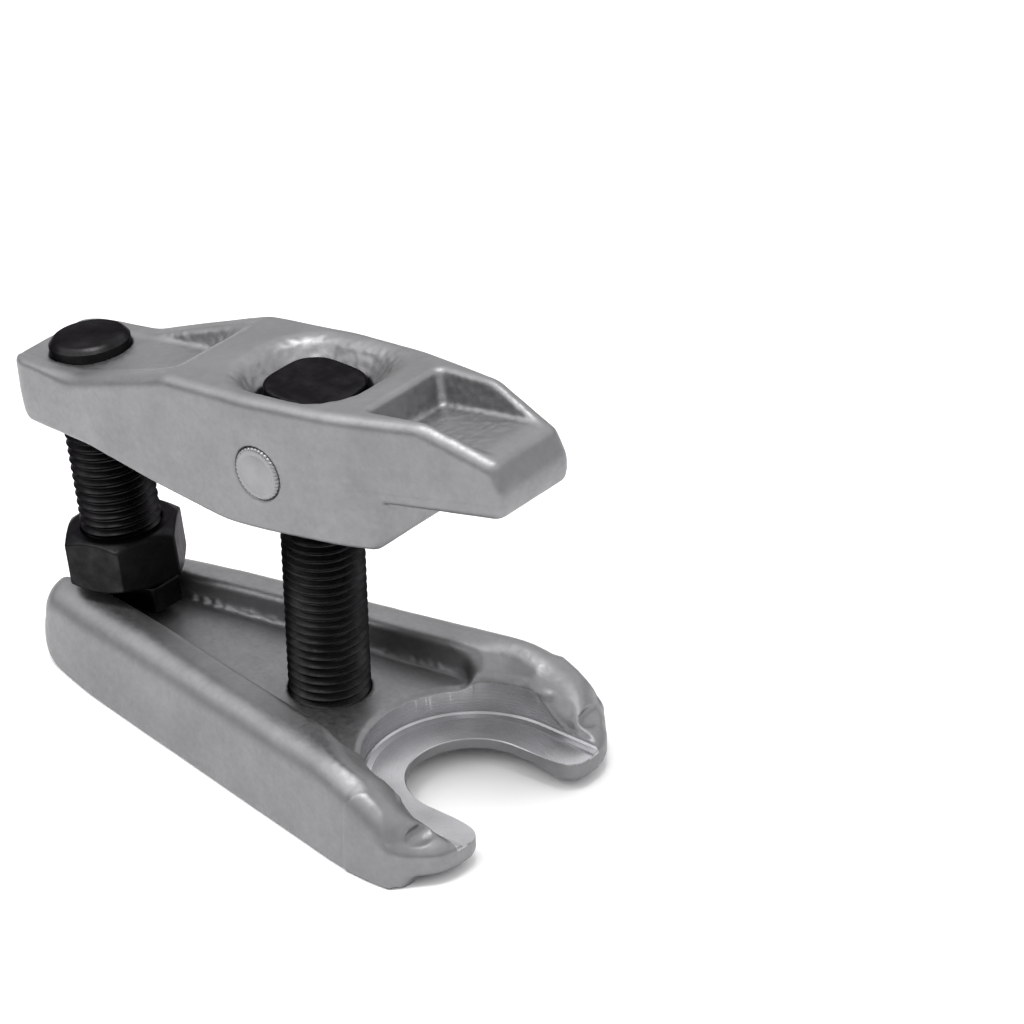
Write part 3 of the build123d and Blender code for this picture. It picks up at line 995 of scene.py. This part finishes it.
def make_screw(black):
    """Fulcrum screw: threaded rod with the square head on it."""
    thread = loose_mesh("thread", *thread_blank(SCREW_END, HEAD_UNDER + 4, 999, 1000))
    blank = loose_mesh("blank", *lathe([
        (0, SCREW_END), (THREAD_R - 1.5, SCREW_END), (THREAD_R + 0.3, SCREW_END + 1.8),
        (THREAD_R + 0.3, HEAD_UNDER + 2), (0, HEAD_UNDER + 2),
    ]))
    rod = combine(thread, blank, "INTERSECT")
    low, high = (-HEAD_HALF, -HEAD_HALF, HEAD_UNDER), (HEAD_HALF, HEAD_HALF, HEAD_TOP)
    points, quads = carve(head_field, low, high, 0.45)
    head = loose_mesh("head", points, quads)
    screw = combine(rod, head, "UNION")
    return finish_helper(
        screw, "fulcrum_screw_black", FORK_FRAME, black, "fulcrum", "fulcrum_screw"
    )


def make_spindle(black):
    """Pressure spindle: threaded rod with a plain top and a journal for the foot."""
    thread = loose_mesh("thread", *thread_blank(NUT_BOTTOM, SPINDLE_TOP, 8.0, 9.6))
    blank = loose_mesh("blank", *lathe([
        (0, NUT_BOTTOM), (THREAD_R + 0.3, NUT_BOTTOM), (THREAD_R + 0.3, SPINDLE_TOP - 1.9),
        (THREAD_R - 0.1, SPINDLE_TOP - 1.5), (THREAD_R - 0.5, SPINDLE_TOP - 1.0),
        (THREAD_R - 1.3, SPINDLE_TOP - 0.22), (THREAD_R - 1.8, SPINDLE_TOP), (0, SPINDLE_TOP),
    ]))
    rod = combine(thread, blank, "INTERSECT")
    journal = loose_mesh("journal", *lathe([
        (0, JOURNAL_END), (JOURNAL_R - 0.4, JOURNAL_END), (JOURNAL_R, JOURNAL_END + 0.4),
        (JOURNAL_R, NUT_BOTTOM + 1), (0, NUT_BOTTOM + 1),
    ]))
    rod = combine(rod, journal, "UNION")
    return finish_helper(
        rod, "spindle_black", SPINDLE_FRAME, black, "spindle", "pressure_spindle"
    )


def make_nut(black):
    """Drive nut."""
    reach = 17.4
    low, high = (-reach, -reach, NUT_BOTTOM), (reach, reach, NUT_TOP)
    points, quads = carve(nut_field, low, high, 0.4)
    return add_piece(
        "nut_black", points, quads, SPINDLE_FRAME, (black,), "spindle", "drive_nut"
    )


def make_foot(black):
    """Foot under the spindle."""
    low = (FOOT_HEEL, -FOOT_HALF, FOOT_BOTTOM)
    high = (FOOT_TOE, FOOT_HALF, FOOT_TOP)
    points, quads = carve(foot_field, low, high, 0.3)
    return add_piece(
        "foot_black", points, quads, SPINDLE_FRAME, (black,), "foot", "spindle_foot"
    )


# radius, and how far each ring of the pin's end lies below its tip
PIN_END = [(4.9, 0.0), (5.15, 0.12), (5.4, 0.14), (5.7, 0.02), (6.5, 0.04), (6.95, 0.16), (PIN_R, 0.6)]


def pin_points(rings, steps, notches):
    """Points of the pin's rings, with notches cut in the rim of each end."""
    points = [(0, PIN_HALF, 0)]
    for r, along in rings:
        at_rim = float(ramp(r, 6.0, 7.0)) * float(ramp(abs(along), PIN_HALF - 1.5, PIN_HALF - 0.8))
        for k in range(steps):
            a = 2 * math.pi * k / steps
            notch = max(0.0, math.cos(a * notches)) ** 2 * at_rim
            reach = r - 0.22 * notch
            depth = math.copysign(0.14 * notch, along)
            points.append((reach * math.sin(a), along - depth, reach * math.cos(a)))
    points.append((0, -PIN_HALF, 0))
    return np.array(points)


def make_pin(steel, steps=180, notches=36):
    """Cross pin with a row of small staking notches round each end."""
    rings = [(r, PIN_HALF - drop) for r, drop in PIN_END] + [(PIN_R, 0.0)]
    rings += [(r, -PIN_HALF + drop) for r, drop in PIN_END[::-1]]
    points = pin_points(rings, steps, notches)
    starts = [1 + i * steps for i in range(len(rings))]
    faces = []
    for k in range(steps):
        j = (k + 1) % steps
        faces.append((0, starts[0] + k, starts[0] + j))
        for a, b in zip(starts, starts[1:]):
            faces.append((a + k, b + k, b + j, a + j))
        faces.append((starts[-1] + j, starts[-1] + k, len(points) - 1))
    pin = add_piece(
        "pin_ground", points, faces, LEVER_FRAME, (steel,), "lever", "cross_pin"
    )
    pin.data.set_sharp_from_angle(angle=math.radians(50))
    return pin


# ---------------------------------------------------------------- camera, floor and lights

CAMERA_AZIMUTH = 40.3                # degrees, round from the -Y side
CAMERA_ELEVATION = 30.6
CAMERA_ROLL = -1.46
CAMERA_DISTANCE = 1.2723
CAMERA_AIM = (0.03121, 0.05333, 0.05176)
CAMERA_LENS = 168.75

# Sine of the elevation, and the surroundings' brightness there
SKY = [(0.15, 0.08), (0.35, 0.66), (0.52, 1.75), (0.85, 0.85)]
FAR_SIDE = 0.62                      # least brightness on the +Y side
# Name, azimuth and elevation in degrees, distance, width and height in metres, watts
LIGHTS = [
    ("key", -45, 50, 1.6, (1.4, 1.4), 7),
    ("overhead", 60, 85, 1.6, (0.4, 0.4), 10),
    ("front_top", -35, 72, 1.6, (0.4, 0.4), 7),
]


def facing(azimuth, elevation):
    """Rotation matrix of something that looks back at the object from there."""
    a, e = math.radians(azimuth), math.radians(elevation)
    back = Vector((math.sin(a) * math.cos(e), -math.cos(a) * math.cos(e), math.sin(e)))
    right = Vector((math.cos(a), math.sin(a), 0))
    up = back.cross(right)
    return Matrix((right, up, back)).transposed(), back


def add_camera():
    """The camera at the photograph's angle."""
    data = bpy.data.cameras.new("camera")
    data.lens = CAMERA_LENS
    data.sensor_width = 36
    data.clip_start = 0.05
    data.clip_end = 50
    camera = bpy.data.objects.new("camera", data)
    bpy.context.scene.collection.objects.link(camera)
    turn, back = facing(CAMERA_AZIMUTH, CAMERA_ELEVATION)
    turn = turn @ Matrix.Rotation(math.radians(CAMERA_ROLL), 3, "Z")
    place = Matrix.Translation(Vector(CAMERA_AIM) + back * CAMERA_DISTANCE)
    camera.matrix_world = place @ turn.to_4x4()
    bpy.context.scene.camera = camera


def add_light(name, azimuth, elevation, distance, size, power, aim):
    """A square soft light that looks at the aim."""
    data = bpy.data.lights.new(name, "AREA")
    data.shape = "RECTANGLE"
    data.size, data.size_y = size
    data.energy = power
    light = bpy.data.objects.new(name, data)
    bpy.context.scene.collection.objects.link(light)
    turn, back = facing(azimuth, elevation)
    light.matrix_world = Matrix.Translation(aim + back * distance) @ turn.to_4x4()


def studio_world():
    """Grey surroundings, dark low down on the -Y side and brightest part of the way up."""
    world = bpy.data.worlds.new("studio")
    world.use_nodes = True
    nodes, links = world.node_tree.nodes, world.node_tree.links
    parts = nodes.new("ShaderNodeSeparateXYZ")
    links.new(nodes.new("ShaderNodeTexCoord").outputs["Generated"], parts.inputs["Vector"])
    sky = nodes.new("ShaderNodeValToRGB")
    links.new(parts.outputs["Z"], sky.inputs["Fac"])
    while len(sky.color_ramp.elements) < len(SKY):
        sky.color_ramp.elements.new(0.5)
    for element, (height, level) in zip(sky.color_ramp.elements, SKY):
        element.position = height
        element.color = (level, level, level * 1.01, 1)
    far_side = blend_values(nodes, links, parts.outputs["Y"], -0.35, 0.45, 0.0, FAR_SIDE)
    either = nodes.new("ShaderNodeMix")
    either.data_type = "RGBA"
    either.blend_type = "LIGHTEN"
    either.inputs["Factor"].default_value = 1.0
    links.new(sky.outputs["Color"], either.inputs["A"])
    links.new(far_side, either.inputs["B"])
    links.new(either.outputs["Result"], nodes["Background"].inputs["Color"])
    bpy.context.scene.world = world


def add_studio():
    """Pale floor, graded surroundings and soft lights."""
    half = 6.0
    mesh = bpy.data.meshes.new("floor")
    corners = [(-half, -half, 0), (half, -half, 0), (half, half, 0), (-half, half, 0)]
    mesh.from_pydata(corners, [], [(0, 1, 2, 3)])
    mesh.materials.append(pale_floor())
    floor = bpy.data.objects.new("floor", mesh)
    bpy.context.scene.collection.objects.link(floor)
    studio_world()
    aim = (cad_low + cad_high) / 2
    for light in LIGHTS:
        add_light(*light, aim)
    bpy.context.scene.view_settings.view_transform = "Standard"


# ---------------------------------------------------------------- the whole scene

FINE = 0.55   # grid of the two forgings

add_camera()
add_studio()
forged_look = blasted_steel()
black_look = black_oxide()
pin_look = pin_steel()
make_fork(forged_look, turned_steel())
make_lever(forged_look)
make_screw(black_look)
make_spindle(black_look)
make_nut(black_look)
make_foot(black_look)
make_pin(pin_look)
for hidden in ("thrust_ball", "foot_retaining_ring"):
    frame["nodes"][hidden].data.materials.clear()
    frame["nodes"][hidden].data.materials.append(pin_look)
